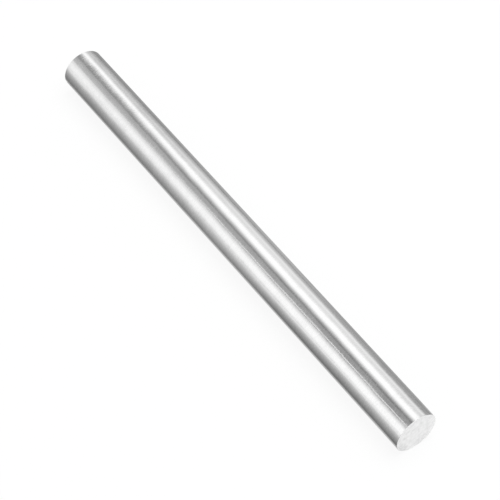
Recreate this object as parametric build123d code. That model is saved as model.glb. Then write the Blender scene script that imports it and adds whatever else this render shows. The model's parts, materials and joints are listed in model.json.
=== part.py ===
from build123d import *

import os

# Titanium round bar: one piece of stock, ground along its length and cut square at both ends.
# Millimetres, +Z up. The bar lies along X, and the origin is on the floor under its middle.
# The near end, at +X, is the one that faces the viewer.

# Stock size
bar_diameter = 20.0
bar_length = 250.0

# Broken edge that deburring leaves around each cut face, measured along the bar
near_edge_break = 0.15
far_edge_break = 0.15
edge_break_angle = 45.0


def cut_length():
    """The round section at its full length, half of it on each side of the middle."""
    section = Plane.YZ * Circle(bar_diameter / 2)
    return extrude(section, bar_length / 2, both=True)


def cut_faces(bar):
    """The two flat faces in order along the bar, the far one first."""
    return bar.faces().filter_by(GeomType.PLANE).sort_by(Axis.X)


def break_edge(bar, cut_face, length):
    """Takes the sharp corner off around one cut face, which leaves a narrow cone."""
    skin = bar.faces().filter_by(GeomType.CYLINDER)[0]
    return chamfer(cut_face.edges(), length, angle=edge_break_angle, reference=skin)


def round_bar():
    """The finished bar, set down on the floor."""
    bar = cut_length()
    bar = break_edge(bar, cut_faces(bar)[-1], near_edge_break)
    bar = break_edge(bar, cut_faces(bar)[0], far_edge_break)
    return Pos(0, 0, bar_diameter / 2) * bar


os.makedirs("parts", exist_ok=True)
export_step(round_bar(), "parts/round_bar.step")
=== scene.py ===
"""A titanium round bar, centreless ground along its length and cut square at both ends.

The bar lies along X on a white studio floor. The near end, at +X, faces the camera. Everything is in
metres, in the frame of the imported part, and every size of the bar comes from that part.
"""

import json
import logging
import math
from abc import ABC, abstractmethod
from collections.abc import Mapping
from dataclasses import dataclass
from enum import Enum, IntEnum
from functools import partial
from typing import Any, ClassVar

import bpy
import numpy as np
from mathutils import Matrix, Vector


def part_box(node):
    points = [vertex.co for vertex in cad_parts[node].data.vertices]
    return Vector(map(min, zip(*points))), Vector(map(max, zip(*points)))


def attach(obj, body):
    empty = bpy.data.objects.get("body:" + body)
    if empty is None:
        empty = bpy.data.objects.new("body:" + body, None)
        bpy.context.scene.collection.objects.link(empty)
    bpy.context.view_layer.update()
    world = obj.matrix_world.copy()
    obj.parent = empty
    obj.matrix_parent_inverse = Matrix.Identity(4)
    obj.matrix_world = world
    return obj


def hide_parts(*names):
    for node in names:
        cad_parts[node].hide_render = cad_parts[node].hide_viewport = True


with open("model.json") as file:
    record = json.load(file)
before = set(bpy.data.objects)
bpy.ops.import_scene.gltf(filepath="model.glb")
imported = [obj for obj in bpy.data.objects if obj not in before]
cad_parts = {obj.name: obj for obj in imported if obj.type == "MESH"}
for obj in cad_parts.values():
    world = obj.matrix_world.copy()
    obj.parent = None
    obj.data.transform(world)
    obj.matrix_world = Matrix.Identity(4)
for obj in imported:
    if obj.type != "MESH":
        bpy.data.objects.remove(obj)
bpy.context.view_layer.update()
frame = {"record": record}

MM = 0.001
# The saw's marks lean this many degrees from level.
SAW_LEAN = 27.0
log = logging.getLogger("round_bar")


class Zone(IntEnum):
    """The three finishes on the bar, in the order of its material slots."""

    SKIN = 0
    CUT_FACE = 1
    EDGE = 2


class Seen(Enum):
    """Which rays meet a thing of the studio."""

    BY_ALL = "all"
    IN_METAL_ONLY = "metal"
    AS_LIGHT_ONLY = "light"


class MixInput(IntEnum):
    """The mix node's inputs, which have the same names for numbers and for colours."""

    SHARE = 0
    NUMBER_FROM = 2
    NUMBER_TO = 3
    COLOUR_FROM = 6
    COLOUR_TO = 7


class MixOutput(IntEnum):
    """The mix node's outputs, which have the same name for numbers and for colours."""

    NUMBER = 0
    COLOUR = 2


def linear_colour(code: str) -> tuple[float, float, float, float]:
    """Turns an sRGB hex colour into the linear colour that shaders take.

    Args:
        code: the colour as "#RRGGBB".

    Returns:
        Linear red, green, blue, and an alpha of 1.
    """
    channels = [int(code[i : i + 2], 16) / 255 for i in (1, 3, 5)]
    linear = [c / 12.92 if c <= 0.04045 else ((c + 0.055) / 1.055) ** 2.4 for c in channels]
    return (*linear, 1.0)


def add_node(
    tree: bpy.types.NodeTree,
    kind: str,
    settings: Mapping[str, Any] | None = None,
    inputs: Mapping[str | int, Any] | None = None,
) -> bpy.types.Node:
    """Adds one node with its settings and links.

    Args:
        tree: the tree that gets the node.
        kind: the node's type name.
        settings: the node's own properties and their values.
        inputs: for each input, a value, or the output socket that feeds it.

    Returns:
        The new node.
    """
    node = tree.nodes.new(kind)
    for name, value in (settings or {}).items():
        setattr(node, name, value)
    for name, value in (inputs or {}).items():
        if isinstance(value, bpy.types.NodeSocket):
            tree.links.new(value, node.inputs[name])
        else:
            node.inputs[name].default_value = value
    return node


def new_material(name: str) -> bpy.types.Material:
    """Makes an empty node material.

    Args:
        name: the material's name.

    Returns:
        The material, with no nodes in its tree.
    """
    material = bpy.data.materials.new(name)
    material.use_nodes = True
    material.node_tree.nodes.clear()
    return material


def smooth_between(x: np.ndarray, low: float, high: float) -> np.ndarray:
    """Rises from 0 at low to 1 at high with level ends."""
    t = np.clip((x - low) / (high - low), 0.0, 1.0)
    return t * t * (3.0 - 2.0 * t)


@dataclass(frozen=True)
class Finish(ABC):
    """A bare metal surface, whose pattern runs between two colours and two roughnesses."""

    name: str
    bright: str
    dull: str
    roughness: tuple[float, float]

    @abstractmethod
    def surface(self, tree: bpy.types.NodeTree, place: bpy.types.NodeSocket) -> dict[str, Any]:
        """Draws the pattern.

        Args:
            tree: the tree that gets the nodes.
            place: a socket with the point on the bar.

        Returns:
            What the pattern feeds into the shader, by the input's name.
        """

    def colour(self, tree: bpy.types.NodeTree, share: bpy.types.NodeSocket) -> bpy.types.NodeSocket:
        """Mixes the bright and the dull colour.

        Args:
            tree: the tree that gets the node.
            share: a socket with the dull colour's share.

        Returns:
            The socket with the mixed colour.
        """
        inputs = {
            MixInput.SHARE: share,
            MixInput.COLOUR_FROM: linear_colour(self.bright),
            MixInput.COLOUR_TO: linear_colour(self.dull),
        }
        return add_node(tree, "ShaderNodeMix", {"data_type": "RGBA"}, inputs).outputs[MixOutput.COLOUR]

    def material(self) -> bpy.types.Material:
        """Builds the finish as a material.

        Returns:
            The material, bare metal with the pattern drawn in it.
        """
        made = new_material(self.name)
        tree = made.node_tree
        place = add_node(tree, "ShaderNodeTexCoord").outputs["Object"]
        inputs = {"Metallic": 1.0, **self.surface(tree, place)}
        shader = add_node(tree, "ShaderNodeBsdfPrincipled", None, inputs)
        add_node(tree, "ShaderNodeOutputMaterial", None, {"Surface": shader.outputs[0]})
        return made


@dataclass(frozen=True)
class GroundTitanium(Finish):
    """Titanium, centreless ground and then polished.

    The wheel runs around the bar, so its scratches are short and fine and lie across the length. They
    blur a reflection along the bar and keep it crisp around it, which gives the eye long clean bands
    with a soft silky grain. The wheel also leaves a very shallow waviness, which lets the bands wander.
    """

    name: str = "titanium_centreless_ground"
    bright: str = "#ECECEC"
    dull: str = "#DADADA"
    roughness: tuple[float, float] = (0.07, 0.28)
    stretch: float = 0.65
    # A quarter turn lays the stretched gloss along the bar.
    stretch_turn: float = 0.25
    # The grit is a few hundredths of a millimetre wide. Scratches are drawn coarser, so that they show.
    scratch_width: float = 0.4 * MM
    scratch_run: float = 1.3 * MM
    scratch_depth: float = 0.0026 * MM
    scratch_detail: float = 2.0
    scratch_raggedness: float = 0.6
    wave_length: float = 14 * MM
    wave_depth: float = 0.19 * MM
    wave_detail: float = 1.0
    cloud_size: float = 9 * MM
    cloud_detail: float = 2.0
    cloud_share: float = 0.3
    # Noise keeps near its middle, and this part of its range is drawn out to the full one.
    noise_range: tuple[float, float] = (0.32, 0.68)

    def surface(self, tree: bpy.types.NodeTree, place: bpy.types.NodeSocket) -> dict[str, Any]:
        """Draws the scratches, the clouds between them and the wheel's waviness.

        Args:
            tree: the tree that gets the nodes.
            place: a socket with the point on the bar.

        Returns:
            What the pattern feeds into the shader, by the input's name.
        """
        scale = (1 / self.scratch_width, 1 / self.scratch_run, 1 / self.scratch_run)
        drawn = add_node(tree, "ShaderNodeMapping", None, {"Vector": place, "Scale": scale})
        scratches = add_node(
            tree,
            "ShaderNodeTexNoise",
            None,
            {
                "Vector": drawn.outputs[0],
                "Scale": 1.0,
                "Detail": self.scratch_detail,
                "Roughness": self.scratch_raggedness,
            },
        ).outputs["Fac"]
        waves = add_node(
            tree,
            "ShaderNodeTexNoise",
            None,
            {"Vector": place, "Scale": 1 / self.wave_length, "Detail": self.wave_detail},
        ).outputs["Fac"]
        clouds = add_node(
            tree,
            "ShaderNodeTexNoise",
            None,
            {"Vector": place, "Scale": 1 / self.cloud_size, "Detail": self.cloud_detail},
        ).outputs["Fac"]
        grain = add_node(
            tree,
            "ShaderNodeMix",
            {"data_type": "FLOAT"},
            {
                MixInput.SHARE: self.cloud_share,
                MixInput.NUMBER_FROM: scratches,
                MixInput.NUMBER_TO: clouds,
            },
        ).outputs[MixOutput.NUMBER]
        least, most = self.noise_range
        share = add_node(
            tree, "ShaderNodeMapRange", None, {"Value": grain, "From Min": least, "From Max": most}
        ).outputs[0]
        low, high = self.roughness
        gloss = add_node(
            tree,
            "ShaderNodeMix",
            {"data_type": "FLOAT"},
            {MixInput.SHARE: share, MixInput.NUMBER_FROM: high, MixInput.NUMBER_TO: low},
        ).outputs[MixOutput.NUMBER]
        swell = add_node(
            tree, "ShaderNodeBump", None, {"Strength": 1.0, "Distance": self.wave_depth, "Height": waves}
        ).outputs[0]
        relief = add_node(
            tree,
            "ShaderNodeBump",
            None,
            {"Strength": 1.0, "Distance": self.scratch_depth, "Height": scratches, "Normal": swell},
        ).outputs[0]
        lay = add_node(tree, "ShaderNodeTangent", {"direction_type": "RADIAL", "axis": "X"}).outputs[0]
        return {
            "Base Color": self.colour(tree, share),
            "Roughness": gloss,
            "Anisotropic": self.stretch,
            "Anisotropic Rotation": self.stretch_turn,
            "Tangent": lay,
            "Normal": relief,
        }


@dataclass(frozen=True)
class SawnTitanium(Finish):
    """Titanium, cut square by a fine saw and lightly dressed.

    Straight shallow marks cross the face and break its light up, which gives the eye a pale, even,
    faintly mottled disc beside the bright skin.
    """

    name: str = "titanium_sawn_face"
    bright: str = "#F6F6F6"
    dull: str = "#DEDEDE"
    roughness: tuple[float, float] = (0.32, 0.46)
    # Teeth leave marks about a tenth of a millimetre apart. They are drawn coarser, so that they show.
    mark_width: float = 0.5 * MM
    mark_run: float = 4 * MM
    mark_depth: float = 0.006 * MM
    mark_detail: float = 3.0
    mottle_size: float = 1.5 * MM
    mottle_detail: float = 3.0
    mottle_share: float = 0.45
    # The parts of the noise's range that are drawn out, for the colour and for the roughness.
    colour_range: tuple[float, float] = (0.35, 0.65)
    gloss_range: tuple[float, float] = (0.3, 0.7)

    def surface(self, tree: bpy.types.NodeTree, place: bpy.types.NodeSocket) -> dict[str, Any]:
        """Draws the saw's marks and the mottle that dressing leaves over them.

        Args:
            tree: the tree that gets the nodes.
            place: a socket with the point on the bar.

        Returns:
            What the pattern feeds into the shader, by the input's name.
        """
        lean = (math.radians(-SAW_LEAN), 0.0, 0.0)
        turned = add_node(tree, "ShaderNodeMapping", None, {"Vector": place, "Rotation": lean}).outputs[0]
        scale = (1 / self.mark_run, 1 / self.mark_run, 1 / self.mark_width)
        drawn = add_node(tree, "ShaderNodeMapping", None, {"Vector": turned, "Scale": scale}).outputs[0]
        marks = add_node(
            tree, "ShaderNodeTexNoise", None, {"Vector": drawn, "Scale": 1.0, "Detail": self.mark_detail}
        ).outputs["Fac"]
        mottle = add_node(
            tree,
            "ShaderNodeTexNoise",
            None,
            {"Vector": place, "Scale": 1 / self.mottle_size, "Detail": self.mottle_detail},
        ).outputs["Fac"]
        both = add_node(
            tree,
            "ShaderNodeMix",
            {"data_type": "FLOAT"},
            {MixInput.SHARE: self.mottle_share, MixInput.NUMBER_FROM: marks, MixInput.NUMBER_TO: mottle},
        ).outputs[MixOutput.NUMBER]
        least, most = self.colour_range
        share = add_node(
            tree, "ShaderNodeMapRange", None, {"Value": both, "From Min": least, "From Max": most}
        ).outputs[0]
        least, most = self.gloss_range
        low, high = self.roughness
        gloss = add_node(
            tree,
            "ShaderNodeMapRange",
            None,
            {"Value": both, "From Min": least, "From Max": most, "To Min": low, "To Max": high},
        ).outputs[0]
        relief = add_node(
            tree, "ShaderNodeBump", None, {"Strength": 1.0, "Distance": self.mark_depth, "Height": both}
        ).outputs[0]
        return {"Base Color": self.colour(tree, share), "Roughness": gloss, "Normal": relief}


@dataclass(frozen=True)
class BrokenEdge(Finish):
    """Titanium whose sharp corner was taken off with a deburring blade, and the lip inside it.

    Its colour is lighter than the cut face's, which paints a highlight: a thin pale line around the cut
    face.
    The small glints where it turns towards the light are its real reflections.
    """

    name: str = "titanium_deburred_edge_painted_highlight"
    # Lighter than the cut face's colours, as a painted highlight along the rim.
    bright: str = "#FAFAFA"
    dull: str = "#ECECEC"
    roughness: tuple[float, float] = (0.34, 0.46)
    chatter: float = 0.8 * MM
    chatter_detail: float = 2.0
    # The part of the noise's range that is drawn out for the roughness.
    gloss_range: tuple[float, float] = (0.3, 0.7)

    def surface(self, tree: bpy.types.NodeTree, place: bpy.types.NodeSocket) -> dict[str, Any]:
        """Draws the small nicks of the blade's chatter.

        Args:
            tree: the tree that gets the nodes.
            place: a socket with the point on the bar.

        Returns:
            What the pattern feeds into the shader, by the input's name.
        """
        nicks = add_node(
            tree,
            "ShaderNodeTexNoise",
            None,
            {"Vector": place, "Scale": 1 / self.chatter, "Detail": self.chatter_detail},
        ).outputs["Fac"]
        least, most = self.gloss_range
        low, high = self.roughness
        gloss = add_node(
            tree,
            "ShaderNodeMapRange",
            None,
            {"Value": nicks, "From Min": least, "From Max": most, "To Min": low, "To Max": high},
        ).outputs[0]
        return {"Base Color": self.colour(tree, nicks), "Roughness": gloss}


@dataclass
class RoundBar:
    """The bar as one turned skin: two sawn faces, the lips and broken edges, and the ground length.

    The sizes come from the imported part. The rest is how finely the skin is drawn, and the fine relief
    that the solid leaves out.
    """

    node: str
    slot: str
    length: float
    radius: float
    edge_break: float
    edge_lean: float = 45.0
    segments: int = 288
    face_rings: int = 44
    skin_rings: int = 96
    corner_ease: float = 0.05 * MM
    corner_steps: int = 3
    # Dressing the face by hand rolls its outermost part off a little, inside the broken edge.
    lip_width: float = 0.35 * MM
    lip_lean: float = 7.0
    # The marks lie at this depth on average, and the deepest at twice as much.
    saw_depth: float = 0.004 * MM
    # They are a sum of waves with lengths in this range, each of which swells and fades along itself.
    saw_waves: int = 16
    saw_widths_mm: tuple[float, float] = (0.6, 2.6)
    saw_sways_mm: tuple[float, float] = (6.0, 20.0)
    saw_sway_share: float = 0.4
    # The share of the flat face's radius where the saw's marks start to run out.
    saw_runout: float = 0.96
    seed: int = 20
    # Points this near to an end are taken to lie in its cut face.
    hair: float = 1e-6 * MM

    @classmethod
    def from_frame(cls, node: str, shank: str) -> "RoundBar":
        """Takes the bar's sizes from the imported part.

        Args:
            node: the name of the bar's node.
            shank: the name of the mount that is the ground length.

        Returns:
            The bar, ready to be built.
        """
        record = frame["record"]
        low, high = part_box(node)
        mount = next(m for m in record["mounts"] if m["name"] == shank)
        slot = next(s["material_slot"] for s in record["subparts"] if s["node"] == node)
        length = high.x - low.x
        ground = mount["dims"]["length_mm"] * MM
        radius = mount["dims"]["r_mm"] * MM
        return cls(node, slot, length, radius, (length - ground) / 2)

    def corner(self, at: tuple[float, float], turn: tuple[float, float]) -> list[tuple[float, float]]:
        """Eases one corner of the half section with a short arc.

        Args:
            at: the sharp corner, as its place along the bar and its distance from the axis.
            turn: the directions of the surface's normal before and after the corner, in degrees.

        Returns:
            The points of the arc.
        """
        start, end = (math.radians(t) for t in turn)
        bend = abs(end - start) / 2
        reach = self.corner_ease / math.cos(bend)
        middle = (start + end) / 2
        centre = (at[0] - reach * math.cos(middle), at[1] - reach * math.sin(middle))
        angles = np.linspace(start, end, self.corner_steps + 1)
        return [
            (centre[0] + self.corner_ease * math.cos(a), centre[1] + self.corner_ease * math.sin(a))
            for a in angles
        ]

    def face_radius(self) -> float:
        """Gives the radius of a cut face's flat part, inside the lip and the broken edge."""
        return self.radius - self.edge_break - self.lip_width

    def half_section(self) -> tuple[list[tuple[float, float]], list[Zone]]:
        """Draws the near half of the bar's outline, from the middle of the cut face to mid length.

        Returns:
            The points as place along the bar and distance from the axis, and the zone of each span.
        """
        end, radius, cut = self.length / 2, self.radius, self.edge_break
        drop = self.lip_width * math.tan(math.radians(self.lip_lean))
        lip = self.corner((end, self.face_radius()), (0.0, self.lip_lean))
        rim = self.corner((end - drop, radius - cut), (self.lip_lean, self.edge_lean))
        shoulder = self.corner((end - drop - cut, radius), (self.edge_lean, 90.0))
        face = [(end, r) for r in np.linspace(0.0, lip[0][1], self.face_rings + 1)[1:-1]]
        skin = [(x, radius) for x in np.linspace(shoulder[-1][0], 0.0, self.skin_rings // 2 + 1)[1:]]
        points = [*face, *lip, *rim, *shoulder, *skin]
        zones = [Zone.CUT_FACE] * len(face)
        zones += [Zone.EDGE] * (len(lip) + len(rim) + len(shoulder) - 1)
        zones += [Zone.SKIN] * len(skin)
        return points, zones

    def saw_marks(self, y: np.ndarray, z: np.ndarray, which: int) -> np.ndarray:
        """Gives the depth of the saw's marks on a cut face.

        Args:
            y: the points' places across the bar.
            z: the points' heights above the bar's axis.
            which: 0 for the near face and 1 for the far one, which has marks of its own.

        Returns:
            How far each point lies below the face, never less than nothing.
        """
        draw = np.random.default_rng(self.seed + which)
        lean = math.radians(SAW_LEAN) * (1 if which == 0 else -1)
        across = -y * math.sin(lean) + z * math.cos(lean)
        along = y * math.cos(lean) + z * math.sin(lean)
        depth = np.zeros_like(y)
        for _ in range(self.saw_waves):
            width = draw.uniform(*self.saw_widths_mm) * MM
            sway_length = draw.uniform(*self.saw_sways_mm) * MM
            phase, sway = draw.uniform(0.0, 2 * math.pi, 2)
            swell = self.saw_sway_share * np.sin(2 * math.pi * along / sway_length + sway)
            strength = 1.0 - self.saw_sway_share + swell
            depth += strength * np.sin(2 * math.pi * across / width + phase)
        flat = self.face_radius()
        fade = 1.0 - smooth_between(np.hypot(y, z), self.saw_runout * flat, flat)
        return self.saw_depth * fade * np.clip(1.0 + depth / math.sqrt(self.saw_waves), 0.0, 2.0)

    def outline(self) -> tuple[np.ndarray, list[Zone]]:
        """Mirrors the half section into the whole outline.

        Returns:
            The points from the near face to the far one, and the zone of each span.
        """
        near, zones = self.half_section()
        far = [(-x, r) for x, r in reversed(near[:-1])]
        return np.array([*near, *far]), [*zones, *reversed(zones)]

    def turned_points(self, outline: np.ndarray) -> np.ndarray:
        """Turns the outline about the axis and cuts the saw's marks into the two faces.

        Args:
            outline: the points as place along the bar and distance from the axis.

        Returns:
            The points ring by ring, and then the middles of the near and the far face.
        """
        angles = np.linspace(0.0, 2 * math.pi, self.segments, endpoint=False)
        x = np.repeat(outline[:, :1], self.segments, axis=1)
        y = outline[:, 1:] * np.cos(angles)
        z = outline[:, 1:] * np.sin(angles)
        for which, side in enumerate((1, -1)):
            flat = np.isclose(x, side * self.length / 2, rtol=0.0, atol=self.hair)
            x[flat] -= side * self.saw_marks(y[flat], z[flat], which)
        shell = np.stack([x, y, z + self.radius], axis=2).reshape(-1, 3)
        middles = [(side * (self.length / 2 - self.saw_depth), 0.0, self.radius) for side in (1, -1)]
        return np.vstack([shell, middles])

    def mesh(self) -> bpy.types.Mesh:
        """Builds the bar's mesh, closed by a fan in the middle of each face.

        Returns:
            The mesh, with the zone of each of its faces as its material.
        """
        outline, zones = self.outline()
        points = self.turned_points(outline)
        faces, finish = [], []
        turn = [(k, (k + 1) % self.segments) for k in range(self.segments)]
        for i, zone in enumerate(zones):
            row, after = i * self.segments, (i + 1) * self.segments
            faces += [(row + a, after + a, after + b, row + b) for a, b in turn]
            finish += [zone] * self.segments
        near_middle, far_middle = len(points) - 2, len(points) - 1
        last = (len(outline) - 1) * self.segments
        faces += [(near_middle, a, b) for a, b in turn]
        faces += [(far_middle, last + b, last + a) for a, b in turn]
        finish += [Zone.CUT_FACE] * (2 * self.segments)
        made = bpy.data.meshes.new("round_bar_turned")
        made.from_pydata(points.tolist(), [], faces)
        made.polygons.foreach_set("material_index", np.array(finish, dtype=np.int32))
        made.polygons.foreach_set("use_smooth", np.ones(len(faces), dtype=bool))
        made.update()
        return made

    def dress(self, bar: bpy.types.Object) -> None:
        """Gives each zone of the bar its finish.

        Args:
            bar: the bar's object.
        """
        finishes = {Zone.SKIN: GroundTitanium(), Zone.CUT_FACE: SawnTitanium(), Zone.EDGE: BrokenEdge()}
        for zone in Zone:
            bar.data.materials.append(finishes[zone].material())

    def build(self) -> bpy.types.Object:
        """Makes the bar's object in the place of its node.

        Returns:
            The dressed bar.
        """
        bar = bpy.data.objects.new("ground_bar", self.mesh())
        bpy.context.scene.collection.objects.link(bar)
        self.dress(bar)
        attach(bar, "root")
        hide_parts(self.node)
        return bar


def show_to(thing: bpy.types.Object, seen: Seen) -> None:
    """Chooses which rays meet a thing of the studio.

    Args:
        thing: the card, floor or lamp.
        seen: who sees it.
    """
    thing.visible_camera = seen is Seen.BY_ALL
    thing.visible_glossy = seen is not Seen.AS_LIGHT_ONLY
    casts = seen is not Seen.IN_METAL_ONLY
    thing.visible_diffuse = casts
    thing.visible_shadow = casts
    thing.visible_transmission = casts
    thing.visible_volume_scatter = casts


@dataclass(frozen=True)
class Card(ABC):
    """A long card, flag or diffuser beside the bar, which only the metal sees.

    A tone of 1 is white paper in plain light. The card covers fully over its span and fades out over
    its feathers, and its near end fades out over a length of its own. Three values scale its tone along
    the bar, and the spread's three scale its outer feather. They belong to the near, the middle and the
    far station.
    """

    stations: ClassVar[tuple[float, float, float]]
    inner_rows: ClassVar[int] = 13
    fade_rows: ClassVar[int] = 5
    edge_points: ClassVar[int] = 9
    far_end: ClassVar[float] = -1.4
    near_end: ClassVar[float] = 1.0

    name: str
    tone: float
    span: tuple[float, float]
    feathers: tuple[float, float]
    along: tuple[float, float, float] = (1.0, 1.0, 1.0)
    spread: tuple[float, float, float] = (1.0, 1.0, 1.0)
    ends: tuple[float, float] = (far_end, near_end)
    end_fade: float = 0.2

    @abstractmethod
    def section(self, x: float) -> list[tuple[float, float, float, float]]:
        """Gives the card's section at one place along the bar.

        Args:
            x: the place along the bar.

        Returns:
            For each point its place along and across the bar, its height, and how much it covers there.
        """

    def outer_feather(self, x: float) -> float:
        """Gives the outer feather's width at one place along the bar."""
        return self.feathers[1] * float(np.interp(x, self.stations[::-1], self.spread[::-1]))

    def fade_start(self) -> float:
        """Gives the place along the bar where the near end starts to fade."""
        return self.ends[1] - self.end_fade

    def rows(self) -> np.ndarray:
        """Chooses where along the bar the card's sections lie.

        Returns:
            The places, from the far end to the near one.
        """
        near, _, far = self.stations
        first, last = self.ends
        inner = np.linspace(far, near, self.inner_rows)
        kept = inner[(inner > first) & (inner < self.fade_start())]
        return np.array([first, *kept, *np.linspace(self.fade_start(), last, self.fade_rows)])

    def mesh(self) -> bpy.types.Mesh:
        """Builds the card with its tone and cover stored in each point.

        Returns:
            The mesh, with no material yet.
        """
        rows = self.rows()
        sections = np.array([self.section(float(x)) for x in rows])
        count = sections.shape[1]
        points = sections.reshape(-1, 4)
        faces = [
            (i * count + k, i * count + k + 1, (i + 1) * count + k + 1, (i + 1) * count + k)
            for i in range(len(rows) - 1)
            for k in range(count - 1)
        ]
        tones = self.tone * np.interp(rows, self.stations[::-1], self.along[::-1])
        fades = 1.0 - smooth_between(rows, self.fade_start(), self.ends[1])
        made = bpy.data.meshes.new(f"studio_{self.name}")
        made.from_pydata(points[:, :3].tolist(), [], faces)
        layers = {"tone": np.repeat(tones, count), "cover": points[:, 3] * np.repeat(fades, count)}
        for name, values in layers.items():
            made.attributes.new(name, "FLOAT", "POINT").data.foreach_set("value", values.astype(np.float32))
        return made

    def material(self) -> bpy.types.Material:
        """Makes the card give its own light where it covers, and let the rest through.

        Returns:
            The material, which reads the mesh's tone and cover.
        """
        made = new_material(f"studio_{self.name}")
        tree = made.node_tree
        tone = add_node(tree, "ShaderNodeAttribute", {"attribute_name": "tone"}).outputs["Fac"]
        cover = add_node(tree, "ShaderNodeAttribute", {"attribute_name": "cover"}).outputs["Fac"]
        light = add_node(tree, "ShaderNodeEmission", None, {"Strength": tone}).outputs[0]
        through = add_node(tree, "ShaderNodeBsdfTransparent").outputs[0]
        both = add_node(tree, "ShaderNodeMixShader", None, {0: cover, 1: through, 2: light})
        add_node(tree, "ShaderNodeOutputMaterial", None, {"Surface": both.outputs[0]})
        made.cycles.emission_sampling = "NONE"
        return made

    def build(self) -> bpy.types.Object:
        """Makes the card and marks it as part of the studio.

        Returns:
            The card's object.
        """
        mesh = self.mesh()
        mesh.materials.append(self.material())
        card = bpy.data.objects.new(mesh.name, mesh)
        bpy.context.scene.collection.objects.link(card)
        show_to(card, Seen.IN_METAL_ONLY)
        return card


@dataclass(frozen=True)
class RoundCard(Card):
    """A card bent around the bar's axis.

    Its span and feathers are in degrees: 0 is level behind the bar, 90 is straight up, and 180 is
    level on the camera's side. The far turn moves its two edges by so many degrees at the far station,
    and much less nearer by, so that its far part curls around the bar. A higher curl keeps more of the
    card straight. The near turn moves them at the near station, and evenly less towards the middle one.
    """

    # The places that the bar's near end, middle and far end reflect to the camera.
    stations: ClassVar[tuple[float, float, float]] = (-0.25, -0.46, -0.7)
    span_points: ClassVar[int] = 7
    # A feather may have no width, and this part of a degree keeps its two sides apart.
    hair: ClassVar[float] = 1e-6

    axis_height: float = 0.0
    reach: float = 0.8
    far_turn: tuple[float, float] = (0.0, 0.0)
    near_turn: tuple[float, float] = (0.0, 0.0)
    curl: int = 4

    def section(self, x: float) -> list[tuple[float, float, float, float]]:
        """Bends the section around the axis and moves its edges by the two turns.

        Args:
            x: the place along the bar.

        Returns:
            For each point its place along and across the bar, its height, and how much it covers there.
        """
        near, middle, far = self.stations
        away = min(max((near - x) / (near - far), 0.0), 1.0) ** self.curl
        close = min(max((x - middle) / (near - middle), 0.0), 1.0)
        low, high = (
            edge + far_turn * away + near_turn * close
            for edge, far_turn, near_turn in zip(self.span, self.far_turn, self.near_turn)
        )
        before, after = self.feathers[0], self.outer_feather(x)
        angles = np.array(
            [
                *np.linspace(low - before, low, self.edge_points)[:-1],
                *np.linspace(low, high, self.span_points),
                *np.linspace(high, high + after, self.edge_points)[1:],
            ]
        )
        covers = smooth_between(angles, low - before - self.hair, low)
        covers -= smooth_between(angles, high, high + after + self.hair)
        return [
            (
                x,
                self.reach * math.cos(math.radians(angle)),
                self.axis_height + self.reach * math.sin(math.radians(angle)),
                float(cover),
            )
            for angle, cover in zip(angles, covers)
        ]


@dataclass(frozen=True)
class FloorCard(Card):
    """A card flat on the floor beside the bar.

    Its span and feathers are distances from the bar's axis. It thins out evenly for each doubling of
    the distance, like the shade at the foot of the bar. The dark ones close by the bar are painted shade:
    the bar's shadow on the floor, as only the metal sees it. The inner feather starts at the foot cover.
    """

    # The places beside the bar that its near end, middle and far end reflect to the camera.
    stations: ClassVar[tuple[float, float, float]] = (0.045, 0.005, -0.12)

    side: int = -1
    lift: float = 0.3 * MM
    foot: float = 1.0

    def section(self, x: float) -> list[tuple[float, float, float, float]]:
        """Spaces the section's points evenly for each doubling of the distance.

        Args:
            x: the place along the bar.

        Returns:
            For each point its place along and across the bar, its height, and how much it covers there.
        """
        low, high = self.span
        inner = low - self.feathers[0]
        outer = high + self.outer_feather(x)
        count = self.edge_points
        distances = [
            *np.geomspace(inner, low, count)[:-1],
            *np.geomspace(low, high, count)[:-1],
            *np.geomspace(high, outer, count),
        ]
        covers = [
            *np.linspace(self.foot, 1.0, count)[:-1],
            *np.ones(count - 1),
            *np.linspace(1.0, 0.0, count),
        ]
        return [(x, self.side * d, self.lift, cover) for d, cover in zip(distances, covers)]


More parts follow.
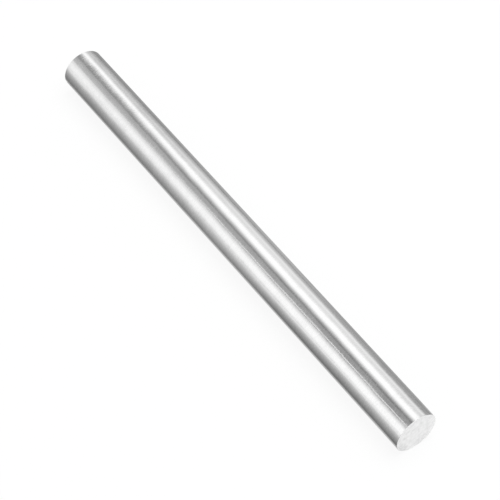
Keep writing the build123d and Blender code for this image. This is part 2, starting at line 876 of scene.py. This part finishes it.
@dataclass(frozen=True)
class Overhead:
    """The cards that hang around the bar, from low behind it to low on the camera's side."""

    axis_height: float

    def cards(self) -> list[Card]:
        """Sets out the cards whose reflections make the bands along the bar's upper half.

        Returns:
            The cards, from behind the bar to the camera's side.
        """
        hung = partial(RoundCard, axis_height=self.axis_height)
        return [
            hung(
                "back_wall",
                tone=0.9,
                span=(-0.5, 62),
                feathers=(0, 6),
                along=(1.0, 1.14, 0.8),
                reach=0.84,
            ),
            hung(
                "side_panel",
                tone=1.05,
                span=(23, 31),
                feathers=(6, 6),
                along=(1.0, 1.02, 0.7),
                reach=0.82,
            ),
            hung(
                "low_flag",
                tone=0.41,
                span=(-0.5, 6),
                feathers=(0, 19.5),
                along=(1.0, 1.56, 1.2),
                reach=0.8,
                near_turn=(0, 3),
            ),
            hung(
                "key_strip",
                tone=1.34,
                span=(62, 73.8),
                feathers=(20, 24.5),
                along=(1.0, 1.0, 0.97),
                reach=0.78,
                far_turn=(-10, -23),
                near_turn=(1.5, -1),
            ),
            hung(
                "key_frame",
                tone=0.25,
                span=(98.4, 101),
                feathers=(4, 5),
                along=(1.0, 1.35, 1.4),
                reach=0.76,
                far_turn=(-19, -6),
            ),
            hung(
                "roof_flag",
                tone=0.38,
                span=(70, 124),
                feathers=(10, 1.5),
                along=(0.97, 1.25, 1.4),
                reach=0.8,
                far_turn=(-10, -16),
            ),
            hung(
                "scrim_hem",
                tone=1.5,
                span=(126.2, 127.4),
                feathers=(0.7, 0.8),
                ends=(RoundCard.stations[1], Card.near_end),
                reach=0.81,
            ),
            hung(
                "scrim_gap",
                tone=0.4,
                span=(130.0, 131.7),
                feathers=(1.0, 1.4),
                ends=(RoundCard.stations[1], Card.near_end),
                reach=0.8,
            ),
            hung(
                "roof_scrim",
                tone=0.66,
                span=(100, 131.2),
                feathers=(0, 12.5),
                along=(1.0, 1.16, 0.93),
                spread=(1.0, 0.9, 0.5),
                reach=0.82,
                far_turn=(0, -7.5),
                curl=3,
            ),
            hung(
                "fill_panel",
                tone=1.27,
                span=(153, 169),
                feathers=(14, 14),
                along=(1.0, 0.98, 0.9),
                reach=0.84,
                far_turn=(-6, -11),
            ),
        ]


@dataclass(frozen=True)
class Underlay:
    """The cards on the floor beside the bar. The dark ones close by it are painted shade, the bar's shadow
    on the floor as the metal sees it, and with the others they darken and light the bar's lower half.
    """

    radius: float
    half_length: float

    def back_cards(self) -> list[Card]:
        """Lays out the cards behind the bar.

        Returns:
            The cards, the outermost first.
        """
        r, end = self.radius, self.half_length
        laid = partial(FloorCard, side=1)
        return [
            laid(
                "back_floor",
                tone=0.37,
                span=(4 * r, 80 * r),
                feathers=(0.3 * r, 10 * r),
                along=(1.0, 1.41, 0.93),
                end_fade=0.5,
                foot=0.0,
            ),
            # Painted shade: the bar's shadow on the floor just behind it, as the metal sees it.
            laid(
                "back_foot_painted_shade",
                tone=0.42,
                span=(1.04 * r, 3.7 * r),
                feathers=(0.02 * r, 0.3 * r),
                along=(1.04, 1.25, 0.9),
                ends=(Card.far_end, end + 1 * MM),
                end_fade=20 * MM,
                lift=0.2 * MM,
            ),
            # Painted shade: the bar's shadow on the floor under its back half, as the metal sees it.
            laid(
                "foot_shade_back",
                tone=0.3,
                span=(0.25 * r, 1.01 * r),
                feathers=(0.05 * r, 0.01 * r),
                ends=(-end - 5 * MM, end + 2 * MM),
                end_fade=10 * MM,
                lift=0.1 * MM,
            ),
        ]

    def front_cards(self) -> list[Card]:
        """Lays out the cards on the camera's side of the bar.

        Returns:
            The cards, from the highest to the lowest.
        """
        r, end = self.radius, self.half_length
        laid = partial(FloorCard, side=-1)
        return [
            # Painted shade: the bar's shadow on the floor on the camera's side, as the metal sees it.
            laid(
                "front_shade",
                tone=0.185,
                span=(1.39 * r, 1.4 * r),
                feathers=(0.38 * r, 20 * r),
                along=(1.0, 1.38, 1.13),
                end_fade=0.5,
                lift=0.4 * MM,
                foot=0.45,
                spread=(1.0, 0.6, 0.83),
            ),
            laid(
                "front_floor",
                tone=1.08,
                span=(1.02 * r, 80 * r),
                feathers=(0.01 * r, 10 * r),
                along=(1.0, 1.02, 0.82),
                end_fade=0.5,
            ),
            # Painted shade: the bar's shadow on the floor under its front half and a little past the near
            # end, as the metal sees it.
            laid(
                "foot_shade_front",
                tone=0.6,
                span=(0.8 * r, 1.01 * r),
                feathers=(0.55 * r, 0.01 * r),
                ends=(-end - 5 * MM, end + 6 * MM),
                end_fade=7.5 * MM,
                lift=0.1 * MM,
                foot=0.0,
            ),
        ]


@dataclass(frozen=True)
class Studio:
    """The white floor, the room, the lamp and the cards around the bar."""

    bar: RoundBar
    floor_size: float = 12.0
    floor_colour: str = "#FAFAFA"
    floor_lift: float = 0.88
    plain_light: float = 0.72
    lamp_size: float = 1.1
    lamp_place: tuple[float, float, float] = (0.1, 0.35, 1.4)
    lamp_watts: float = 9.5

    def cards(self) -> list[Card]:
        """Gathers the cards over the bar and on the floor beside it."""
        underlay = Underlay(self.bar.radius, self.bar.length / 2)
        return [*Overhead(self.bar.radius).cards(), *underlay.back_cards(), *underlay.front_cards()]

    def background_rays(self, tree: bpy.types.NodeTree) -> bpy.types.NodeSocket:
        """Tells camera, mirror and see-through rays, which meet the white background, from the rest.

        Args:
            tree: the tree that gets the nodes.

        Returns:
            A socket that is 1 for those rays and 0 for the others.
        """
        path = add_node(tree, "ShaderNodeLightPath").outputs
        mirrored = add_node(
            tree,
            "ShaderNodeMath",
            {"operation": "MAXIMUM"},
            {0: path["Is Glossy Ray"], 1: path["Is Transmission Ray"]},
        ).outputs[0]
        return add_node(
            tree, "ShaderNodeMath", {"operation": "MAXIMUM"}, {0: path["Is Camera Ray"], 1: mirrored}
        ).outputs[0]

    def floor_material(self) -> bpy.types.Material:
        """Makes the floor read as white paper that keeps a faint shadow.

        Returns:
            The material.
        """
        made = new_material("studio_white_paper")
        tree = made.node_tree
        paper = add_node(tree, "ShaderNodeBsdfDiffuse", None, {"Color": linear_colour(self.floor_colour)})
        white = add_node(tree, "ShaderNodeEmission", None, {"Strength": 1.0})
        lift = add_node(
            tree,
            "ShaderNodeMath",
            {"operation": "MULTIPLY"},
            {0: self.background_rays(tree), 1: self.floor_lift},
        )
        both = add_node(
            tree, "ShaderNodeMixShader", None, {0: lift.outputs[0], 1: paper.outputs[0], 2: white.outputs[0]}
        )
        add_node(tree, "ShaderNodeOutputMaterial", None, {"Surface": both.outputs[0]})
        made.cycles.emission_sampling = "NONE"
        return made

    def floor(self) -> bpy.types.Object:
        """Lays the white floor under the bar.

        Returns:
            The floor's object.
        """
        half = self.floor_size / 2
        mesh = bpy.data.meshes.new("studio_floor")
        corners = [(-half, -half, 0.0), (half, -half, 0.0), (half, half, 0.0), (-half, half, 0.0)]
        mesh.from_pydata(corners, [], [(0, 1, 2, 3)])
        mesh.materials.append(self.floor_material())
        made = bpy.data.objects.new("studio_floor", mesh)
        bpy.context.scene.collection.objects.link(made)
        show_to(made, Seen.BY_ALL)
        return made

    def world(self) -> None:
        """Fills the room with plain even light in front of a white background."""
        made = bpy.data.worlds.new("studio_room")
        made.use_nodes = True
        tree = made.node_tree
        tree.nodes.clear()
        plain = linear_colour("#FFFFFF")
        room = add_node(tree, "ShaderNodeBackground", None, {"Color": plain, "Strength": self.plain_light})
        white = add_node(tree, "ShaderNodeBackground", None, {"Color": plain, "Strength": 1.0})
        both = add_node(
            tree,
            "ShaderNodeMixShader",
            None,
            {0: self.background_rays(tree), 1: room.outputs[0], 2: white.outputs[0]},
        )
        add_node(tree, "ShaderNodeOutputWorld", None, {"Surface": both.outputs[0]})
        bpy.context.scene.world = made

    def lamp(self) -> bpy.types.Object:
        """Hangs one large soft lamp over the bar. The metal shows the cards in its place.

        Returns:
            The lamp's object.
        """
        light = bpy.data.lights.new("overhead_softbox", "AREA")
        light.shape = "SQUARE"
        light.size = self.lamp_size
        light.energy = self.lamp_watts
        made = bpy.data.objects.new("overhead_softbox", light)
        made.location = self.lamp_place
        made.rotation_euler = (-made.location).to_track_quat("-Z", "Y").to_euler()
        bpy.context.scene.collection.objects.link(made)
        show_to(made, Seen.AS_LIGHT_ONLY)
        return made

    def build(self) -> None:
        """Sets up the room, the floor, the lamp and the cards."""
        self.world()
        self.floor()
        self.lamp()
        for card in self.cards():
            made = card.build()
            log.info("%s: %d faces", made.name, len(made.data.polygons))


@dataclass(frozen=True)
class Viewpoint:
    """The camera, placed by the angles from which the bar's outline is seen."""

    azimuth: float = 54.53
    elevation: float = 51.22
    distance: float = 0.8423
    field_of_view: float = 14.64
    aim: tuple[float, float, float] = (0.00916, 0.00033, 0.00994)
    sensor_width_mm: float = 36.0
    clip: tuple[float, float] = (0.01, 50.0)

    def build(self) -> bpy.types.Object:
        """Makes the camera and gives it to the scene.

        Returns:
            The camera's object.
        """
        a, e = math.radians(self.azimuth), math.radians(self.elevation)
        back = Vector((math.sin(a) * math.cos(e), -math.cos(a) * math.cos(e), math.sin(e)))
        data = bpy.data.cameras.new("camera")
        data.sensor_width = self.sensor_width_mm
        data.lens = data.sensor_width / 2 / math.tan(math.radians(self.field_of_view) / 2)
        data.clip_start, data.clip_end = self.clip
        made = bpy.data.objects.new("camera", data)
        made.location = Vector(self.aim) + back * self.distance
        made.rotation_euler = (-back).to_track_quat("-Z", "Y").to_euler()
        bpy.context.scene.collection.objects.link(made)
        bpy.context.scene.camera = made
        return made


def main() -> None:
    """Builds the bar and its studio in order."""
    logging.basicConfig(level=logging.INFO, format="%(name)s: %(message)s")
    bpy.context.scene.view_settings.view_transform = "Standard"
    bar = RoundBar.from_frame("round_bar", "shank")
    piece = bar.build()
    log.info("%s: %d faces", piece.name, len(piece.data.polygons))
    Studio(bar).build()
    Viewpoint().build()


if __name__ == "__main__":
    main()
